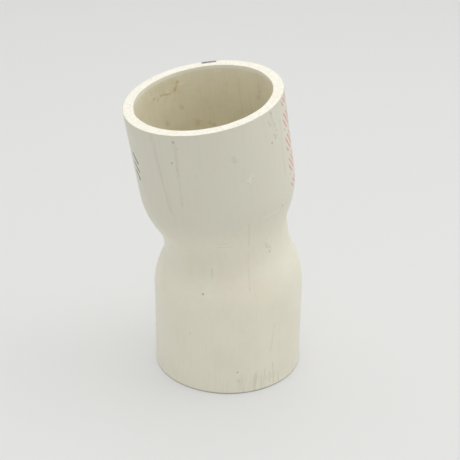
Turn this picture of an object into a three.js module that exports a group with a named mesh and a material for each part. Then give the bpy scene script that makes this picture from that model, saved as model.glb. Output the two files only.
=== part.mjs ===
// A plastic pipe bend with a socket at each end, formed from one length of thick-walled pipe.
//
// Both ends are opened out into straight sockets that take a pipe. Between them the wall runs
// down over a rounded shoulder to a throat at mid length, and the pipe is bent there by 11.25
// degrees, an eighth of a right angle. The fitting stands on its lower socket and leans to -X.
//
// Units are millimetres, +Z is up, and the origin is the centre of the bounding box's bottom
// face. The model holds three solids, one for each formed length of the wall: the two sockets
// and the bend that joins them.

import * as THREE from "three";

const degrees = THREE.MathUtils.degToRad;

// ---- Driving dimensions ----------------------------------------------------------------

// The sockets
const PIPE_OD = 60.3; // pipe that a socket takes, 2 inch nominal
const SOCKET_CLEARANCE = 0.1; // radial, between that pipe and the bore at the mouth
const SOCKET_TAPER = 0.1; // the bore's radius closes by this much at the pipe's stop
const SOCKET_WALL = 4.85;
const SOCKET_LENGTH = 41; // straight length, from the mouth to the shoulder

// The throat
const THROAT_OD = 57.8;
const THROAT_WALL = 5.5;
const THROAT_LENGTH = 2.5; // straight length at mid length

// The shoulder, an arc into a cone and an arc out of it, on the outer face
const SHOULDER_ANGLE = degrees(22.7); // half angle of the cone
const SHOULDER_RADIUS = 38; // rounds the socket into the cone
const THROAT_RADIUS = 21.7; // rounds the cone into the throat

// The bend
const BEND_ANGLE = degrees(11.25);
const BEND_RADIUS = 178; // of the centreline, starting where the lower socket ends

// The sawn ends
const MOUTH_CHAMFER = 0.6; // inside, where the pipe goes in
const EDGE_BREAK = 0.4; // outside

// The meeting faces between two lengths of the wall
const SEAM_GAP = 0.3;

// Facets
const FACETS_AROUND = 64; // a multiple of four keeps the widest points on the axes
const ARC_STEPS = 5;
const BARREL_STEPS = 2;

// ---- Sizes that follow from them -------------------------------------------------------

const SOCKET_BORE_R = PIPE_OD / 2 + SOCKET_CLEARANCE;
const SOCKET_R = SOCKET_BORE_R + SOCKET_WALL;
const THROAT_R = THROAT_OD / 2;
const THROAT_BORE_R = THROAT_R - THROAT_WALL;

// One face of a shoulder, as points [distance from mid length, radius] from throat to socket.
// The two arcs share the cone's slope. A shallow shoulder ends its arcs before that slope.
function shoulder(throatR, socketR, throatRound, shoulderRound) {
  const rise = socketR - throatR;
  const rounds = throatRound + shoulderRound;
  const slope = Math.min(SHOULDER_ANGLE, Math.acos(Math.max(0, 1 - rise / rounds)));
  const cone = Math.max(0, rise - rounds * (1 - Math.cos(slope))) / Math.sin(slope);
  const points = [];
  for (let i = 0; i <= ARC_STEPS; i++) {
    const a = (slope * i) / ARC_STEPS;
    points.push([throatRound * Math.sin(a), throatR + throatRound * (1 - Math.cos(a))]);
  }
  const length = rounds * Math.sin(slope) + cone * Math.cos(slope);
  const first = cone > 0 ? ARC_STEPS : ARC_STEPS - 1; // with no cone the arcs share a point
  for (let i = first; i >= 0; i--) {
    const a = (slope * i) / ARC_STEPS;
    points.push([length - shoulderRound * Math.sin(a), socketR - shoulderRound * (1 - Math.cos(a))]);
  }
  return points.map(([along, radius]) => [along + THROAT_LENGTH / 2, radius]);
}

// The outer face, and the bore parallel to it through the rounds.
const OUTER = shoulder(THROAT_R, SOCKET_R, THROAT_RADIUS, SHOULDER_RADIUS);
const BORE = shoulder(
  THROAT_BORE_R,
  SOCKET_BORE_R - SOCKET_TAPER,
  THROAT_RADIUS + THROAT_WALL,
  Math.max(SHOULDER_RADIUS - SOCKET_WALL, EDGE_BREAK),
);

const SHOULDER_END = OUTER.at(-1)[0];
const HALF_LENGTH = SOCKET_LENGTH + SHOULDER_END; // along the centreline, mouth to mid length

// The wall is split in the middle of the outer cone, square to the centreline.
const SEAM_AT = (OUTER[ARC_STEPS][0] + OUTER[ARC_STEPS + 1][0]) / 2;

// The radius of a face at a distance from mid length, straight between its points.
function radiusAt(face, along) {
  const after = face.findIndex(([x]) => x >= along);
  const [x0, r0] = face[after - 1];
  const [x1, r1] = face[after];
  return r0 + ((r1 - r0) * (along - x0)) / (x1 - x0);
}

// ---- Placing the wall along the bent centreline ----------------------------------------

const BEND_START = SOCKET_LENGTH; // along the centreline, from the lower mouth
const BEND_END = BEND_START + BEND_RADIUS * BEND_ANGLE;

// The centreline's point and tilt at a distance from the lower mouth, leaning to -X.
function centreline(along) {
  const tilt = THREE.MathUtils.clamp((along - BEND_START) / BEND_RADIUS, 0, BEND_ANGLE);
  const before = Math.min(along, BEND_START);
  const past = Math.max(0, along - BEND_END);
  return {
    x: -BEND_RADIUS * (1 - Math.cos(tilt)) - past * Math.sin(tilt),
    z: before + BEND_RADIUS * Math.sin(tilt) + past * Math.cos(tilt),
    tilt,
  };
}

// Centres the bounding box on the origin: the lower socket stands at +X, and the upper
// socket's mouth reaches furthest to -X.
const TOP = centreline(2 * HALF_LENGTH);
const MOUTH_R = SOCKET_R - EDGE_BREAK;
const REACH = Math.max(
  SOCKET_R * Math.cos(TOP.tilt) - TOP.x - EDGE_BREAK * Math.sin(TOP.tilt),
  MOUTH_R * Math.cos(TOP.tilt) - TOP.x,
  SOCKET_R,
);
const LOWER_AXIS_X = (REACH - SOCKET_R) / 2;

// Turns a closed outline [distance from the lower mouth, radius] into a ring of wall, and
// bends it: each row of points is carried to its place on the centreline.
function formedWall(outline) {
  const profile = outline.map(([along, radius]) => new THREE.Vector2(radius, along));
  profile.push(profile[0].clone());
  const geometry = new THREE.LatheGeometry(profile, FACETS_AROUND);
  geometry.rotateX(Math.PI / 2); // the lathe turns about Y, and the centreline starts along Z
  const points = geometry.getAttribute("position");
  for (let i = 0; i < points.count; i++) {
    const across = points.getX(i);
    const { x, z, tilt } = centreline(points.getZ(i));
    points.setXYZ(
      i,
      LOWER_AXIS_X + x + across * Math.cos(tilt),
      points.getY(i),
      z + across * Math.sin(tilt),
    );
  }
  geometry.computeVertexNormals();
  return geometry;
}

// ---- The three lengths of wall ---------------------------------------------------------

// A socket, as [distance from mid length, radius], from the seam out to the mouth and back.
function socketOutline() {
  const split = SEAM_AT + SEAM_GAP / 2;
  const outward = OUTER.filter(([along]) => along > split);
  const inward = BORE.filter(([along]) => along > split).reverse();
  const stop = inward[0][0];
  const barrel = [];
  for (let i = 1; i < BARREL_STEPS; i++) {
    barrel.push([THREE.MathUtils.lerp(SHOULDER_END, HALF_LENGTH, i / BARREL_STEPS), SOCKET_R]);
  }
  const chamferDepth = HALF_LENGTH - MOUTH_CHAMFER;
  const taperAt = (chamferDepth - stop) / (HALF_LENGTH - stop);
  return [
    [split, radiusAt(OUTER, split)],
    ...outward,
    ...barrel,
    [HALF_LENGTH - EDGE_BREAK, SOCKET_R],
    [HALF_LENGTH, SOCKET_R - EDGE_BREAK],
    [HALF_LENGTH, SOCKET_BORE_R + MOUTH_CHAMFER / 2],
    [chamferDepth, SOCKET_BORE_R - SOCKET_TAPER * (1 - taperAt)],
    ...inward,
    [split, radiusAt(BORE, split)],
  ];
}

// The bend, from its upper seam down the outer face to its lower seam, and up the bore.
function bendOutline() {
  const split = SEAM_AT - SEAM_GAP / 2;
  const half = (face) => [
    ...face.filter(([along]) => along < split),
    [split, radiusAt(face, split)],
  ];
  const mirrored = (points) => points.map(([along, radius]) => [-along, radius]).reverse();
  return [
    ...mirrored(half(OUTER)),
    ...half(OUTER),
    ...half(BORE).reverse(),
    ...mirrored(half(BORE)).reverse(),
  ];
}

const fromLowerMouth = ([along, radius]) => [HALF_LENGTH + along, radius];
const flipped = ([along, radius]) => [HALF_LENGTH - along, radius];

const whitePlastic = new THREE.MeshStandardMaterial({
  color: 0xe4e0cd,
  roughness: 0.42,
  metalness: 0,
});

function piece(name, outline) {
  const mesh = new THREE.Mesh(formedWall(outline), whitePlastic.clone());
  mesh.name = name;
  return mesh;
}

const fitting = new THREE.Group();
fitting.name = "socket_bend";
fitting.add(
  piece("lower_socket", socketOutline().map(flipped).reverse()),
  piece("centre_bend", bendOutline().map(fromLowerMouth)),
  piece("upper_socket", socketOutline().map(fromLowerMouth)),
);

export default fitting;
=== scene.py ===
"""The looks of a white plastic pipe bend with a formed socket at each end.

The fitting was formed hot from one length of pipe, so its three lengths of wall are skins that
meet edge to edge and share one plastic. The wall's lengths are in millimetres until its meshes
are made, and the stage around it is in metres.
"""

import math

import bpy
import numpy as np
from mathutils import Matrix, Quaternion, Vector


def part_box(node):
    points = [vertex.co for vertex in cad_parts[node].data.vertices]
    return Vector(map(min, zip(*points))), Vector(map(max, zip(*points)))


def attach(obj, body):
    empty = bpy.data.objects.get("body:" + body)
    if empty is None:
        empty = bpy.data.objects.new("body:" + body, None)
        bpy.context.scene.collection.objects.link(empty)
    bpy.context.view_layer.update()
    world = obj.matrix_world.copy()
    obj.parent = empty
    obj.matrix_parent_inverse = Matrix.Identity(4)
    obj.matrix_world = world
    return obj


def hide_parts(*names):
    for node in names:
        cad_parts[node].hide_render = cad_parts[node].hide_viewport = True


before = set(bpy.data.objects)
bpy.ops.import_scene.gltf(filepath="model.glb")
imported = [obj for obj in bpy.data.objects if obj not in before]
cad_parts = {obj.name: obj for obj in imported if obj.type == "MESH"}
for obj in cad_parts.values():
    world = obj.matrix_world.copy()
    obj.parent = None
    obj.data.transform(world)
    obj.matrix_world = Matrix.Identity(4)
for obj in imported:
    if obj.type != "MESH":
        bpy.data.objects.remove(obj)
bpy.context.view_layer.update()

MM = 0.001

# ---- The wall's sizes ------------------------------------------------------------------

LOWER_LOW, LOWER_HIGH = (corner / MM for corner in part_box("lower_socket"))
SOCKET_R = (LOWER_HIGH.y - LOWER_LOW.y) / 2
LOWER_AXIS_X = LOWER_HIGH.x - SOCKET_R

SOCKET_WALL = 4.85
SOCKET_TAPER = 0.1
SOCKET_LENGTH = 41
THROAT_R = 28.9
THROAT_WALL = 5.5
THROAT_LENGTH = 2.5
SHOULDER_ANGLE = math.radians(22.7)
SHOULDER_RADIUS = 38
THROAT_RADIUS = 21.7
BEND_ANGLE = math.radians(11.25)
BEND_RADIUS = 178

SOCKET_BORE_R = SOCKET_R - SOCKET_WALL
THROAT_BORE_R = THROAT_R - THROAT_WALL
BEND_START = SOCKET_LENGTH
BEND_END = BEND_START + BEND_RADIUS * BEND_ANGLE

# ---- The sawn ends ---------------------------------------------------------------------

EDGE_ROUND = 0.22  # the upper mouth's outer edge
FOOT_ROUND = 0.5  # the lower mouth's outer edge, rubbed round by standing on it
LIP_ROUND = 0.35  # the inner edges, deburred with a knife
END_DEPTH = 5  # how far from the mouth the saw's dips reach
LIP_DEPTH = (0.4, 1.6)  # where the knife's cuts start to fade, and where they are gone

# ---- Unevenness, as waves round the wall: (count, height, phase) -----------------------

LOWER_OVAL = [(2, 0.10, 0.4), (3, 0.05, 1.9), (5, 0.02, 0.2)]
UPPER_OVAL = [(2, 0.12, 2.3), (3, 0.04, 0.6), (7, 0.015, 1.1)]
SAW_DIP = [(1, 0.03, 0.3), (3, 0.02, 1.2), (11, 0.02, 2.0), (23, 0.012, 0.8)]
SAW_DIP_MEAN = -0.05
KNIFE_CUT = [(4, 0.06, 0.9), (9, 0.05, 2.6), (17, 0.04, 0.1), (31, 0.02, 1.4)]
KNIFE_CUT_MEAN = 0.05

# ---- Mesh steps ------------------------------------------------------------------------

COLUMNS = 256
ROW_STEP = 1.0
ARC_STEPS = 18
EDGE_STEPS = 5
FACE_STEP = 0.6
SAME_PLACE = 1e-6  # points nearer than this are one
SHARP_ANGLE = math.radians(40)


# ---- The wall's section ----------------------------------------------------------------

def shoulder(throat_r, socket_r, throat_round, shoulder_round):
    """One face of a shoulder, as rows (distance from mid length, radius), throat to socket."""
    rise = socket_r - throat_r
    rounds = throat_round + shoulder_round
    slope = min(SHOULDER_ANGLE, math.acos(max(0, 1 - rise / rounds)))
    cone = max(0, rise - rounds * (1 - math.cos(slope))) / math.sin(slope)
    length = rounds * math.sin(slope) + cone * math.cos(slope)
    turn = np.linspace(0, slope, ARC_STEPS + 1)
    back = turn[::-1]
    along = np.concatenate([throat_round * np.sin(turn), length - shoulder_round * np.sin(back)])
    radius = np.concatenate([
        throat_r + throat_round * (1 - np.cos(turn)),
        socket_r - shoulder_round * (1 - np.cos(back)),
    ])
    return np.column_stack([along + THROAT_LENGTH / 2, radius])


OUTER = shoulder(THROAT_R, SOCKET_R, THROAT_RADIUS, SHOULDER_RADIUS)
BORE = shoulder(
    THROAT_BORE_R,
    SOCKET_BORE_R - SOCKET_TAPER,
    THROAT_RADIUS + THROAT_WALL,
    SHOULDER_RADIUS - SOCKET_WALL,
)
SHOULDER_END = OUTER[-1, 0]
HALF_LENGTH = SOCKET_LENGTH + SHOULDER_END
SEAM_AT = (OUTER[ARC_STEPS, 0] + OUTER[ARC_STEPS + 1, 0]) / 2


def filled(rows, step):
    """The same rows with more between them, so that none is further than step from the next."""
    made = [rows[0]]
    for start, end in zip(rows[:-1], rows[1:]):
        count = max(1, math.ceil(math.dist(start, end) / step))
        made += [start + (end - start) * i / count for i in range(1, count + 1)]
    return np.array(made)


def split_face(face, past_seam):
    """The part of a face on one side of the seam, ending on the seam."""
    on_seam = [SEAM_AT, np.interp(SEAM_AT, face[:, 0], face[:, 1])]
    if past_seam:
        return np.vstack([on_seam, face[face[:, 0] > SEAM_AT + SAME_PLACE]])
    return np.vstack([face[face[:, 0] < SEAM_AT - SAME_PLACE], on_seam])


def socket_section(edge_round):
    """A socket's closed section: out along its outer face, round the lip, back along the bore."""
    turn = np.linspace(0, math.pi / 2, EDGE_STEPS + 1)
    edge = np.column_stack([
        HALF_LENGTH - edge_round * (1 - np.sin(turn)),
        SOCKET_R - edge_round * (1 - np.cos(turn)),
    ])
    lip = np.column_stack([
        HALF_LENGTH - LIP_ROUND * (1 - np.cos(turn)),
        SOCKET_BORE_R + LIP_ROUND * (1 - np.sin(turn)),
    ])
    outside = filled(np.vstack([split_face(OUTER, True), edge[:1]]), ROW_STEP)
    end = filled(np.vstack([edge[-1:], lip[:1]]), FACE_STEP)
    inside = filled(np.vstack([lip[-1:], split_face(BORE, True)[::-1]]), ROW_STEP)
    return np.vstack([outside, edge[1:], end[1:], lip[1:], inside[1:]])


def bend_section():
    """The bend's closed section: up its outer face from seam to seam, and down its bore."""
    def both_ways(face):
        half = split_face(face, False)
        return filled(np.vstack([half[::-1] * (-1, 1), half]), ROW_STEP)

    return np.vstack([both_ways(OUTER), both_ways(BORE)[::-1]])


# ---- The wall's shape ------------------------------------------------------------------

def ease(value, low, high):
    """0 below low, 1 above high, and smooth between."""
    share = np.clip((value - low) / (high - low), 0, 1)
    return share * share * (3 - 2 * share)


def waves(angle, terms):
    """A sum of waves round the wall."""
    return sum(height * np.sin(count * angle + phase) for count, height, phase in terms)


def out_of_round(angle, along):
    """How far the hot-formed wall stands off its true circle."""
    upper = ease(along, HALF_LENGTH - SHOULDER_END, HALF_LENGTH + SHOULDER_END)
    return waves(angle, LOWER_OVAL) * (1 - upper) + waves(angle, UPPER_OVAL) * upper


def uneven_end(angle, to_mouth, radius, phase):
    """How the sawn face dips, and how the knife left the lip: (along, radius) changes."""
    near = 1 - ease(to_mouth, 0, END_DEPTH)
    past_bore = (radius - SOCKET_BORE_R) / LIP_ROUND
    at_lip = np.exp(-(past_bore ** 2)) * (1 - ease(to_mouth, *LIP_DEPTH))
    dip = waves(angle + phase, SAW_DIP) + SAW_DIP_MEAN
    cut = waves(angle + phase, KNIFE_CUT) + KNIFE_CUT_MEAN
    return dip * near, cut * at_lip


def centreline(along):
    """The centreline's X and Z, and its tilt, at a distance from the lower mouth."""
    tilt = np.clip((along - BEND_START) / BEND_RADIUS, 0, BEND_ANGLE)
    before = np.minimum(along, BEND_START)
    past = np.maximum(0, along - BEND_END)
    x = -BEND_RADIUS * (1 - np.cos(tilt)) - past * np.sin(tilt)
    z = before + BEND_RADIUS * np.sin(tilt) + past * np.cos(tilt)
    return x, z, tilt


def formed_wall(name, section, mouth):
    """A closed skin turned from a section, rows (distance from the lower mouth, radius), and bent.

    mouth is the distance of its sawn end from the lower mouth, or None if it has none.
    """
    columns = np.linspace(0, 2 * math.pi, COLUMNS, endpoint=False)
    angle, along = np.meshgrid(columns, section[:, 0])
    true_radius = np.repeat(section[:, 1:], COLUMNS, axis=1)
    radius = true_radius + out_of_round(angle, along)
    if mouth is not None:
        outward = 1 if mouth > HALF_LENGTH else -1
        dip, cut = uneven_end(angle, abs(mouth - along), true_radius, mouth)
        along = along + outward * dip
        radius = radius + cut
    x, z, tilt = centreline(along)
    across = radius * np.cos(angle)
    aside = radius * np.sin(angle)
    bent = np.stack(
        [LOWER_AXIS_X + x + across * np.cos(tilt), aside, z + across * np.sin(tilt)], axis=-1
    )
    straight = np.stack([across, aside, along], axis=-1)
    return skin(name, bent.reshape(-1, 3) * MM, straight.reshape(-1, 3), len(section))


def skin(name, points, straight, rows):
    """The piece made of a grid of points that closes on itself both ways.

    The attribute wall holds each point as it was before the bend, in millimetres.
    """
    row, column = np.meshgrid(np.arange(rows), np.arange(COLUMNS), indexing="ij")
    below, right = (row + 1) % rows, (column + 1) % COLUMNS
    corners = [(row, column), (row, right), (below, right), (below, column)]
    faces = np.stack([r * COLUMNS + c for r, c in corners], axis=-1).reshape(-1, 4)
    mesh = bpy.data.meshes.new(name)
    mesh.from_pydata(points.tolist(), [], faces.tolist())
    wall = mesh.attributes.new("wall", "FLOAT_VECTOR", "POINT")
    wall.data.foreach_set("vector", straight.astype(np.float32).ravel())
    mesh.shade_smooth()
    mesh.set_sharp_from_angle(angle=SHARP_ANGLE)
    piece = bpy.data.objects.new(name, mesh)
    bpy.context.scene.collection.objects.link(piece)
    return piece


# ---- Nodes -----------------------------------------------------------------------------

def srgb(red, green, blue):
    """A colour from 0 to 255, as a shader takes it."""
    def linear(value):
        value /= 255
        return value / 12.92 if value <= 0.04045 else ((value + 0.055) / 1.055) ** 2.4

    return (linear(red), linear(green), linear(blue), 1)


class Nodes:
    """The nodes of one tree. What feeds a node is a number, a tuple or a node's output."""

    def __init__(self, tree):
        self.tree = tree

    def feed(self, socket, value):
        """Link the value to the socket if it is an output, or else set the socket to it."""
        if isinstance(value, bpy.types.NodeSocket):
            self.tree.links.new(value, socket)
        else:
            socket.default_value = value

    def node(self, kind, inputs=(), **settings):
        """A new node with these settings, and with inputs given as (name or number, value)."""
        node = self.tree.nodes.new("ShaderNode" + kind)
        for key, value in settings.items():
            setattr(node, key, value)
        for key, value in dict(inputs).items():
            self.feed(node.inputs[key], value)
        return node

    def add(self, kind, inputs=(), output=0, **settings):
        """One output of a new node."""
        return self.node(kind, inputs, **settings).outputs[output]

    def math(self, operation, *values):
        return self.add("Math", enumerate(values), operation=operation)

    def vector(self, operation, *values, output="Vector", **named):
        inputs = {**dict(enumerate(values)), **named}
        return self.add("VectorMath", inputs, output, operation=operation)

    def opposite(self, share):
        return self.math("SUBTRACT", 1.0, share)

    def times(self, first, *others):
        for other in others:
            first = self.math("MULTIPLY", first, other)
        return first

    def most(self, first, *others):
        for other in others:
            first = self.math("MAXIMUM", first, other)
        return first

    def between(self, value, low, high, to_low=0.0, to_high=1.0):
        """A smooth step from to_low at low to to_high at high. It needs no clamp."""
        inputs = {"Value": value, 1: low, 2: high, 3: to_low, 4: to_high}
        return self.add("MapRange", inputs, interpolation_type="SMOOTHSTEP", clamp=False)

    def band(self, value, middle, half_width, soft):
        """1 within half_width of the middle, falling to 0 over soft."""
        away = self.math("ABSOLUTE", self.math("SUBTRACT", value, middle))
        return self.between(away, half_width, half_width + soft, 1.0, 0.0)

    def layered(self, colour, *layers):
        """The colour with layers laid over it in turn, each (share, colour)."""
        for share, over in layers:
            colour = self.add("Mix", {0: share, 6: colour, 7: over}, 2, data_type="RGBA")
        return colour


class Shader(Nodes):
    """One material."""

    def __init__(self, name):
        self.material = bpy.data.materials.new(name)
        self.material.use_nodes = True
        super().__init__(self.material.node_tree)
        self.surface = self.tree.nodes["Principled BSDF"].inputs


# Scales that stretch noise, as (X, Y, along)
DRAWN_OUT = (1, 1, 0.02)  # into lengthwise lines
SMEARED = (1, 1, 0.14)  # lengthwise, and less
SAW_STROKE = (1, 0.05, 0.05)  # into the saw's cuts, which run along Y

# Masks of the wall's faces change over between these, in millimetres
BORE_FROM_MIDDLE = (0.9, 1.5)  # inward of the wall's middle
SAWN_DEPTH = (0.12, 0.25)  # in from the mouth
SAWN_RIM = (0.14, 0.04)  # in from the outer face

NOISE_DETAIL = 3.0
SPECK_SOFT = 0.8  # the share of a placed speck that its edge softens by
SPOT_CORE = 0.6  # the share of a scattered spot that is solid


class Wall(Shader):
    """The fitting's plastic, with places on the wall as they were before the bend.

    place is a point, along and radius are its distance from the lower mouth and from the
    centreline, arc is its way round the socket's outer face, and flat is arc and along. inner
    and sawn are masks of the wall's faces, and the rest is noise that several marks share.
    """

    def __init__(self, name):
        super().__init__(name)
        self.place = self.add("Attribute", output="Vector", attribute_name="wall")
        self.x, self.y, self.along = self.node("SeparateXYZ", {0: self.place}).outputs
        angle = self.math("ARCTAN2", self.y, self.x)
        self.arc = self.math("MULTIPLY", angle, SOCKET_R)
        self.flat = self.add("CombineXYZ", {0: self.arc, 1: self.along})
        squares = self.math("ADD", self.times(self.x, self.x), self.times(self.y, self.y))
        self.radius = self.math("SQRT", squares)
        other_way = self.math("SUBTRACT", 2 * HALF_LENGTH, self.along)
        self.to_mouth = self.math("MINIMUM", self.along, other_way)
        self.inner = self.inner_face()
        self.sawn = self.sawn_face()
        self.drawn_out = self.vector("MULTIPLY", self.place, DRAWN_OUT)
        self.smeared = self.vector("MULTIPLY", self.place, SMEARED)
        self.cloud = self.noise(self.place, 0.12)
        self.grain = self.noise(self.place, 2.2)
        self.fine = self.noise(self.smeared, 0.9)
        self.broken = self.noise(self.smeared, 0.55)

    def noise(self, place, scale, roughness=0.6):
        """Noise with this many features in a millimetre."""
        inputs = {"Vector": place, "Scale": scale, "Detail": NOISE_DETAIL, "Roughness": roughness}
        return self.add("TexNoise", inputs, "Fac")

    def inner_face(self):
        """1 on the bore and the inner half of a sawn end, and 0 further out."""
        socket_middle = SOCKET_R - SOCKET_WALL / 2
        throat_middle = THROAT_R - THROAT_WALL / 2
        starts, ends = SOCKET_LENGTH, HALF_LENGTH - THROAT_LENGTH
        middle = self.between(self.to_mouth, starts, ends, socket_middle, throat_middle)
        inward = self.math("SUBTRACT", middle, self.radius)
        return self.between(inward, *BORE_FROM_MIDDLE)

    def sawn_face(self):
        """1 on the two sawn ends, up to their outer edge."""
        near_end = self.between(self.to_mouth, *SAWN_DEPTH, 1.0, 0.0)
        rim = [SOCKET_R - depth for depth in SAWN_RIM]
        return self.times(near_end, self.between(self.radius, *rim, 1.0, 0.0))

    def patch(self, turn, along, half_arc, half_along):
        """A soft patch round (degrees, along), which is half gone at its edge."""
        middle = math.radians(turn) * SOCKET_R
        across = self.band(self.arc, middle, half_arc / 2, half_arc)
        lengthwise = self.band(self.along, along, half_along / 2, half_along)
        return self.times(across, lengthwise)

    def stroke(self, start, end, width, soft):
        """1 on a round-ended line between two (degrees, along) places."""
        a, b = (Vector((math.radians(turn) * SOCKET_R, along, 0)) for turn, along in (start, end))
        run = b - a
        from_a = self.vector("SUBTRACT", self.flat, tuple(a))
        reach = self.vector("DOT_PRODUCT", from_a, tuple(run), output="Value")
        share = self.math("MINIMUM", self.math("DIVIDE", reach, run.length_squared), 1.0)
        share = self.math("MAXIMUM", share, 0.0)
        nearest = self.vector("SCALE", tuple(run), Scale=share)
        return self.within(self.vector("DISTANCE", from_a, nearest, output="Value"), width, soft)

    def within(self, away, width, soft):
        """1 within half the width, with an edge that softens by this share of it."""
        half = width / 2
        return self.between(away, half * (1 - soft), half * (1 + soft), 1.0, 0.0)

    def strokes(self, rows, soft):
        """Several strokes, each (start, end, width), as one mask."""
        mask = 0.0
        for row in rows:
            mask = self.most(mask, self.stroke(*row, soft))
        return mask

    def specks(self, rows):
        """Round specks, each (degrees, along, width), as one mask."""
        mask = 0.0
        for turn, along, width in rows:
            middle = (math.radians(turn) * SOCKET_R, along, 0)
            away = self.vector("DISTANCE", self.flat, middle, output="Value")
            mask = self.most(mask, self.within(away, width, SPECK_SOFT))
        return mask

    def scattered(self, spacing, size, share):
        """Small spots at random places, about spacing apart, of which only a share show."""
        cells = self.node("TexVoronoi", {"Vector": self.place, "Scale": 1 / spacing}).outputs
        edge = size / spacing
        spots = self.between(cells["Distance"], SPOT_CORE * edge, edge, 1.0, 0.0)
        chosen = self.add("SeparateColor", {0: cells["Color"]})
        return self.times(spots, self.math("LESS_THAN", chosen, share))


# ---- Colours ---------------------------------------------------------------------------

PLASTIC = srgb(231, 228, 210)
PLASTIC_WARM = srgb(229, 223, 204)
# Painted shade: a darker plastic laid over the upper socket, where it tilts away from the light
PAINTED_SHADE_PLASTIC = srgb(212, 210, 194)
PLASTIC_INSIDE = srgb(232, 226, 203)
SAWN = srgb(240, 238, 224)
SAWN_DULL = srgb(233, 228, 211)
SAWN_PIT = srgb(186, 164, 146)
DRAWN = srgb(190, 170, 146)
# The colour of real dirt specks and smudges, and also of the painted contact shadow along the foot
DIRT_AND_PAINTED_SHADE = srgb(96, 88, 72)
GRIME = srgb(178, 150, 124)
STAIN = srgb(186, 158, 84)
PINK = srgb(228, 210, 194)
SCUFF = srgb(240, 238, 224)
MARKER = srgb(40, 42, 54)
PRINT = srgb(216, 124, 130)

# ---- Marks, placed as (degrees round from +X, distance from the lower mouth) -----------

# Lines are (start, end, width), and specks are (degrees, distance, width).
DRAWN_LINES = [
    ((-168, 137), (-166, 116), 1.6),
    ((-166, 116), (-164, 100), 1.2),
    ((-150, 136), (-152, 118), 1.3),
    ((-152, 116), (-153, 104), 1.1),
    ((-108, 90), (-108, 76), 0.7),
    ((-109, 72), (-113, 54), 0.7),
    ((-66, 130), (-68, 102), 0.8),
    ((35, 134), (38, 96), 1.1),
    ((96, 60), (99, 14), 1.0),
]
SPECKS = [
    (-151, 135, 0.9),
    (-149, 132, 0.4),
    (-155, 125, 0.8),
    (-152, 122, 0.4),
    (-104.5, 110.5, 0.5),
    (-100.5, 112, 0.4),
    (-76, 136, 0.6),
    (-73, 130, 0.5),
    (-72, 127, 0.6),
    (-74.5, 124, 0.8),
    (-79, 123, 0.9),
    (-75.6, 90.4, 0.8),
    (-150, 53, 1.0),
    (-87, 68, 0.9),
    (-90, 71, 0.6),
    (-123, 12, 0.8),
    (-160, 30, 0.5),
    (12, 118, 0.8),
    (60, 45, 0.9),
    (110, 104, 0.7),
    (150, 20, 0.8),
]
SMUDGES = [
    ((-77, 137), (-74, 129), 1.2),
    ((-80, 133), (-78, 131), 1.2),
    ((-76, 126), (-72, 124), 1.0),
    ((-112, 124), (-111, 122.5), 1.7),
    ((-143, 66), (-143, 61), 0.7),
    ((-91, 73), (-86, 70), 1.3),
    ((-123, 8), (-122, 7), 1.3),
]
SCUFFS = [
    ((-104, 111), (-101, 113), 2.0),
    ((-147.5, 55), (-144, 58), 1.0),
    ((-145, 52.5), (-144, 51.5), 1.5),
    ((-96, 90.5), (-80, 90), 0.7),
    ((72, 96), (88, 98), 1.4),
]
SCRATCHES = [
    ((-134, 80), (-122, 79), 0.35),
    ((-131, 82), (-125, 81.5), 0.3),
    ((-96, 20), (-93, 34), 0.3),
    ((-40, 30), (-28, 24), 0.35),
    ((80, 110), (95, 116), 0.35),
]
GRIME_LINES = [
    ((-93.8, 13), (-92.5, 2), 0.5),
    ((-97, 9), (-96.5, 3), 0.4),
    ((-101, 11), (-100.5, 5), 0.4),
    ((-104, 8), (-103.5, 1), 0.4),
    ((-109, 10), (-108.5, 4), 0.4),
    ((-88, 7), (-87, 1), 0.5),
]
MARKER_STROKES = [
    ((162, 122), (168, 118.5), 1.3),
    ((161.5, 117.5), (167, 114.2), 1.1),
    ((161, 113), (166, 110), 1.2),
]
MARKER_OVER_EDGE = ((42, 138), (49.5, 138), 2.4)
INSIDE_STAINS = [
    ((101, 130.5), (93, 130), 1.9),
    ((93, 130), (81, 129.2), 1.4),
    ((79, 129.5), (74.5, 133.5), 1.5),
]
INSIDE_SCUFFS = [
    ((104, 136.9), (78, 136.3), 0.6),
    ((41, 135.6), (36, 135.2), 0.9),
    ((20, 136.4), (2, 136.2), 0.5),
]
INSIDE_BLOTCHES = [
    ((76, 121), (75, 120), 2.0),
    ((64, 111), (61, 110), 2.6),
    ((52, 109), (49, 108), 2.2),
    ((-2, 129), (0, 124), 3.0),
    ((92, 116), (90, 113), 2.2),
]

# Patches, each (degrees, along, half size round, half size along)
PINK_PATCH = (-118, 61, 10.4, 10.4)
STAIN_PATCH = (88, 131, 13.6, 5.6)
GRIME_PATCH = (-108, 5, 9.6, 5.6)

# Where a look comes in or goes, in millimetres from the foot, the lip or the rim
# The upper socket's painted shade comes in between these
PAINTED_SHADE_FROM_FOOT = (76, 96)
GRIME_FROM_FOOT = (0, 14)
# Painted contact shadow: a dark band this far above the foot, where the pipe stands on the floor
CONTACT_SHADE_FROM_FOOT = (0.4, 1.1)
SCUFF_FROM_LIP = (1.2, 2.2)
MARKER_FROM_RIM = (2.2, 1.6)

PRINT_TURN = math.radians(-52)
PRINT_HALF_WIDTH = 4.8
PRINT_MIDDLE = 115.5
PRINT_HALF_LENGTH = 21.5
PRINT_BAR_PITCH = 4.4
PRINT_BAR_SLANT = 1.3
PRINT_GROUP_PITCH = 11
PRINT_BAR_SHARE = (0.16, 0.1)  # half a bar and its soft edge, as shares of the pitch
PRINT_GROUP_SHARE = (0.34, 0.04)  # the same for a group of bars

ROUGHNESS = (0.34, 0.46)  # least and most, on clean plastic
WORN_ROUGHER = 0.25
BORE_ROUGHER = 0.08
SAWN_ROUGHER = 0.22

# Relief, in millimetres
DRAW_LINE_DEPTH = 0.03
RUB_DEPTH = 0.02
RIPPLE_DEPTH = 0.10
SAW_CUT_DEPTH = 0.14
SAWN_GRAIN_DEPTH = 0.10


# ---- The plastic's faces and marks -----------------------------------------------------

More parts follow.
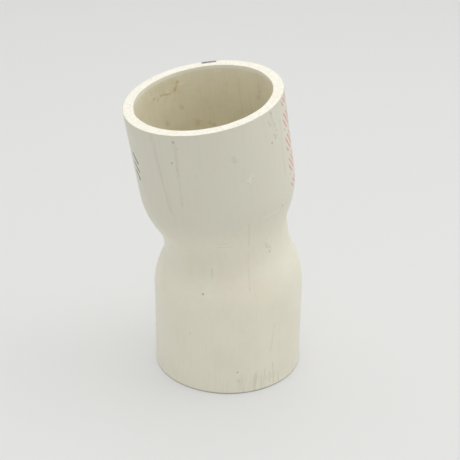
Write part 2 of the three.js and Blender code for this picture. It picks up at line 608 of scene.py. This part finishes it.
def outer_plastic(wall):
    """Cream-white uPVC, mottled and drawn into faint lengthwise streaks, with painted shade
    darkening the upper socket.
    """
    mottle = wall.noise(wall.place, 0.04)
    streaks = wall.noise(wall.drawn_out, 0.5)
    pink = wall.times(wall.patch(*PINK_PATCH), wall.between(wall.cloud, 0.4, 0.6, 0.05, 0.22))
    lines = wall.times(wall.strokes(DRAWN_LINES, 1.0), wall.between(wall.broken, 0.25, 0.6), 0.2)
    return wall.layered(
        PLASTIC,
        (wall.between(mottle, 0.4, 0.68, 0.0, 0.8), PLASTIC_WARM),
        # Painted shade darkens the upper socket
        (wall.between(wall.along, *PAINTED_SHADE_FROM_FOOT, 0.0, 0.65), PAINTED_SHADE_PLASTIC),
        (wall.between(streaks, 0.55, 0.8, 0.0, 0.08), DRAWN),
        (wall.between(wall.fine, 0.45, 0.8, 0.0, 0.06), DRAWN),
        (pink, PINK),
        (lines, DRAWN),
    )


def grime_mask(wall):
    """Grime near the foot, where the wall was rubbed, and in a few lines."""
    rubbed = wall.between(wall.noise(wall.smeared, 0.7, 0.7), 0.42, 0.7)
    low = wall.between(wall.along, *GRIME_FROM_FOOT, 0.12, 0.0)
    thicker = wall.times(wall.patch(*GRIME_PATCH), 0.25)
    lines = wall.times(wall.strokes(GRIME_LINES, 0.7), 0.3)
    return wall.most(wall.times(wall.most(low, thicker), rubbed), lines)


def scratch_mask(wall):
    """Fine scratches, broken here and there."""
    return wall.times(wall.strokes(SCRATCHES, 0.6), wall.between(wall.broken, 0.3, 0.5))


def dirt_mask(wall):
    """Specks of dirt, some placed and some scattered."""
    specks = wall.most(wall.specks(SPECKS), wall.times(wall.scattered(9.0, 0.35, 0.25), 0.6))
    return wall.times(specks, wall.between(wall.grain, 0.3, 0.6, 0.2, 0.62))


def repeats(wall, value, pitch, half_share, soft):
    """A band in the middle of each pitch, of this half width as a share of it."""
    share = wall.math("FRACT", wall.math("DIVIDE", value, pitch))
    return wall.band(share, 0.5, half_share, soft)


def printed_band(wall):
    """A worn printed band of plain slanted bars in groups, along the upper socket."""
    across = wall.math("SUBTRACT", wall.arc, PRINT_TURN * SOCKET_R)
    slanted = wall.math("MULTIPLY_ADD", across, PRINT_BAR_SLANT, wall.along)
    bars = repeats(wall, slanted, PRINT_BAR_PITCH, *PRINT_BAR_SHARE)
    groups = repeats(wall, wall.along, PRINT_GROUP_PITCH, *PRINT_GROUP_SHARE)
    width = wall.band(across, 0.0, PRINT_HALF_WIDTH, 0.3)
    length = wall.band(wall.along, PRINT_MIDDLE, PRINT_HALF_LENGTH, 0.5)
    worn = wall.between(wall.noise(wall.place, 0.85, 0.7), 0.3, 0.55, 0.2, 0.8)
    return wall.times(bars, groups, width, length, worn)


def marker_ink(wall):
    """Three strokes of a worn black marker, and a bar of it over the mouth's outer edge."""
    rim = [SOCKET_R - depth for depth in MARKER_FROM_RIM]
    over_edge = wall.times(wall.stroke(*MARKER_OVER_EDGE, 0.4), wall.between(wall.radius, *rim))
    outside = wall.times(wall.strokes(MARKER_STROKES, 0.5), wall.opposite(wall.sawn))
    worn = wall.between(wall.grain, 0.35, 0.55, 0.4, 0.95)
    return wall.times(wall.most(outside, over_edge), wall.opposite(wall.inner), worn)


def outer_colour(wall, grime, scratches):
    """The outer face: the plastic with its grime, dirt, wear and print, and a painted contact
    shadow along the foot.
    """
    plain = outer_plastic(wall)
    smudges = wall.times(wall.strokes(SMUDGES, 1.0), wall.between(wall.grain, 0.4, 0.6), 0.24)
    scuffs = wall.times(wall.strokes(SCUFFS, 1.0), wall.between(wall.grain, 0.3, 0.6), 0.38)
    return wall.layered(
        plain,
        (grime, GRIME),
        # Painted contact shadow along the foot
        (wall.between(wall.along, *CONTACT_SHADE_FROM_FOOT, 0.7, 0.0), DIRT_AND_PAINTED_SHADE),
        (wall.times(scratches, 0.22), GRIME),
        (smudges, DIRT_AND_PAINTED_SHADE),
        (scuffs, SCUFF),
        (dirt_mask(wall), DIRT_AND_PAINTED_SHADE),
        (printed_band(wall), PRINT),
    )


def bore_colour(wall):
    """The bore: yellowed, stained in a few lines, dusty and scuffed under the lip."""
    spots = wall.between(wall.noise(wall.place, 0.32, 0.65), 0.38, 0.6)
    lines = wall.noise(wall.drawn_out, 0.7)
    stains = wall.times(wall.strokes(INSIDE_STAINS, 0.9), spots, 0.6)
    around = wall.times(wall.patch(*STAIN_PATCH), spots, 0.16)
    blotches = wall.times(wall.strokes(INSIDE_BLOTCHES, 1.0), spots, 0.3)
    dust = wall.times(wall.scattered(6.0, 0.45, 0.4), 0.45)
    lip = wall.between(wall.to_mouth, *SCUFF_FROM_LIP, 0.85, 0.0)
    scuffs = wall.times(wall.strokes(INSIDE_SCUFFS, 0.8), wall.between(wall.grain, 0.3, 0.6), 0.55)
    return wall.layered(
        PLASTIC_INSIDE,
        (wall.between(wall.cloud, 0.4, 0.75, 0.0, 0.12), STAIN),
        (wall.between(lines, 0.5, 0.75, 0.0, 0.16), DRAWN),
        (wall.most(stains, around), STAIN),
        (wall.most(blotches, dust), GRIME),
        (wall.most(lip, scuffs), SCUFF),
    )


def sawn_colour(wall):
    """A sawn end: pale, dulled in patches and pitted."""
    dull = wall.noise(wall.place, 0.7, 0.65)
    return wall.layered(
        SAWN,
        (wall.between(dull, 0.42, 0.66, 0.0, 0.9), SAWN_DULL),
        (wall.between(wall.grain, 0.52, 0.70, 0.0, 0.4), SAWN_PIT),
        (wall.times(wall.scattered(3.0, 0.4, 0.25), 0.6), GRIME),
    )


def roughness(wall, worn):
    """Semi-matt, and rougher where it is worn, in the bore and on the sawn ends."""
    rough = wall.between(wall.cloud, 0.3, 0.7, *ROUGHNESS)
    rougher = ((worn, WORN_ROUGHER), (wall.inner, BORE_ROUGHER), (wall.sawn, SAWN_ROUGHER))
    for mask, more in rougher:
        rough = wall.math("MULTIPLY_ADD", mask, more, rough)
    return rough


def relief(wall):
    """The surface's height in millimetres: draw lines, rub marks, ripples and saw cuts."""
    draw_lines = wall.noise(wall.drawn_out, 1.6)
    saw_cuts = wall.noise(wall.vector("MULTIPLY", wall.place, SAW_STROKE), 2.4, 0.7)
    height = wall.times(draw_lines, DRAW_LINE_DEPTH)
    for texture, depth in (
        (wall.fine, RUB_DEPTH),
        (wall.cloud, RIPPLE_DEPTH),
        (wall.times(saw_cuts, wall.sawn), SAW_CUT_DEPTH),
        (wall.times(wall.grain, wall.sawn), SAWN_GRAIN_DEPTH),
    ):
        height = wall.math("MULTIPLY_ADD", texture, depth, height)
    return height


def plastic():
    """The one material of the fitting: cream-white uPVC, scuffed, stained and inked, with painted
    shade on the upper socket and a painted contact shadow at the foot.
    """
    wall = Wall("white_upvc")
    grime = grime_mask(wall)
    scratches = scratch_mask(wall)
    colour = wall.layered(
        outer_colour(wall, grime, scratches),
        (wall.inner, bore_colour(wall)),
        (wall.sawn, sawn_colour(wall)),
        (marker_ink(wall), MARKER),
    )
    bump = {"Height": relief(wall), "Strength": 1.0, "Distance": MM}
    wall.feed(wall.surface["Base Color"], colour)
    wall.feed(wall.surface["Roughness"], roughness(wall, wall.most(grime, scratches)))
    wall.feed(wall.surface["Normal"], wall.add("Bump", bump, "Normal"))
    return wall.material


# ---- The stage -------------------------------------------------------------------------

CAMERA_AIM = Vector((7.8, -0.3, 67.7)) * MM
CAMERA_DISTANCE = 515.6 * MM
CAMERA_AZIMUTH = math.radians(-40.6)
CAMERA_ELEVATION = math.radians(25.95)
CAMERA_ROLL = math.radians(0.63)
CAMERA_LENS = 86.6
CAMERA_SENSOR = 36
CAMERA_NEAR = 0.01

FLOOR_HALF = 6
FLOOR = srgb(164, 164, 162)
FLOOR_ROUGHNESS = 0.8
FLOOR_GLOW = (1, 1, 0.99, 1)
FLOOR_GLOW_STRENGTH = 0.34

# The dome's light: an even part, and more towards the horizon, either side and behind
DOME_EVEN = 0.03
DOME_LEVEL = 0.83
DOME_SIDES = 0.1
DOME_BEHIND = 0.45
DOME_COLOUR = (1, 1, 1, 1)

# Soft boxes: (name, azimuth, elevation, distance, size, watts), in degrees and metres
SOFT_BOXES = [
    ("overhead", 0, 89, 1.4, 1.4, 13.8),
    ("right_fill", 50, 50, 1.4, 1.0, 3.4),
    ("front_fill", -40, 55, 1.4, 1.0, 1.9),
]


def direction(azimuth, elevation):
    """From the part towards that azimuth and elevation: azimuth 0 is -Y, and 90 is +X."""
    level = math.cos(elevation)
    return Vector((math.sin(azimuth) * level, -math.cos(azimuth) * level, math.sin(elevation)))


def add_camera():
    """The camera, which looks down on the part from its front left."""
    data = bpy.data.cameras.new("camera")
    data.lens = CAMERA_LENS
    data.sensor_width = CAMERA_SENSOR
    data.clip_start = CAMERA_NEAR
    back = direction(CAMERA_AZIMUTH, CAMERA_ELEVATION)
    camera = bpy.data.objects.new("camera", data)
    camera.location = CAMERA_AIM + back * CAMERA_DISTANCE
    camera.rotation_mode = "QUATERNION"
    upright = (-back).to_track_quat("-Z", "Y")
    camera.rotation_quaternion = upright @ Quaternion((0, 0, 1), CAMERA_ROLL)
    bpy.context.scene.collection.objects.link(camera)
    bpy.context.scene.camera = camera


def add_floor():
    """A plain pale floor that glows a little, so that shadows on it stay pale."""
    mesh = bpy.data.meshes.new("floor")
    sides = ((-1, -1), (1, -1), (1, 1), (-1, 1))
    mesh.from_pydata([(x * FLOOR_HALF, y * FLOOR_HALF, 0) for x, y in sides], [], [(0, 1, 2, 3)])
    floor = bpy.data.objects.new("floor", mesh)
    bpy.context.scene.collection.objects.link(floor)
    shader = Shader("pale_floor")
    shader.feed(shader.surface["Base Color"], FLOOR)
    shader.feed(shader.surface["Roughness"], FLOOR_ROUGHNESS)
    shader.feed(shader.surface["Emission Color"], FLOOR_GLOW)
    shader.feed(shader.surface["Emission Strength"], FLOOR_GLOW_STRENGTH)
    mesh.materials.append(shader.material)


def add_light(name, azimuth, elevation, distance, size, watts):
    """A square soft box that faces the part."""
    data = bpy.data.lights.new(name, "AREA")
    data.size = size
    data.energy = watts
    light = bpy.data.objects.new(name, data)
    towards = direction(math.radians(azimuth), math.radians(elevation))
    light.location = CAMERA_AIM + towards * distance
    light.rotation_euler = towards.to_track_quat("Z", "Y").to_euler()
    bpy.context.scene.collection.objects.link(light)


def add_dome():
    """A white dome round the part, with its light set by direction."""
    world = bpy.data.worlds.new("dome")
    world.use_nodes = True
    nodes = Nodes(world.node_tree)
    towards = nodes.add("TexCoord", output="Generated")

    def facing(axis):
        return nodes.vector("DOT_PRODUCT", towards, tuple(axis), output="Value")

    side = nodes.math("ABSOLUTE", facing(direction(CAMERA_AZIMUTH + math.pi / 2, 0)))
    level = nodes.opposite(nodes.math("ABSOLUTE", facing((0, 0, 1))))
    behind = nodes.most(facing(-direction(CAMERA_AZIMUTH, 0)), 0.0)
    strength = DOME_EVEN
    for share, more in ((level, DOME_LEVEL), (side, DOME_SIDES), (behind, DOME_BEHIND)):
        strength = nodes.math("MULTIPLY_ADD", share, more, strength)
    background = world.node_tree.nodes["Background"].inputs
    nodes.feed(background["Strength"], strength)
    nodes.feed(background["Color"], DOME_COLOUR)
    bpy.context.scene.world = world


bpy.context.scene.view_settings.view_transform = "Standard"
add_camera()
add_floor()
add_dome()
for soft_box in SOFT_BOXES:
    add_light(*soft_box)

# ---- The pieces ------------------------------------------------------------------------

from_lower_mouth = np.array((HALF_LENGTH, 0))
upside_down = np.array((-1, 1))
WALLS = {
    "lower_socket": (socket_section(FOOT_ROUND)[::-1] * upside_down + from_lower_mouth, 0),
    "centre_bend": (bend_section() + from_lower_mouth, None),
    "upper_socket": (socket_section(EDGE_ROUND) + from_lower_mouth, 2 * HALF_LENGTH),
}
white_plastic = plastic()
for node, (section, mouth) in WALLS.items():
    piece = formed_wall(node + "_skin", section, mouth)
    piece.data.materials.append(white_plastic)
    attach(piece, "root")
    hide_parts(node)
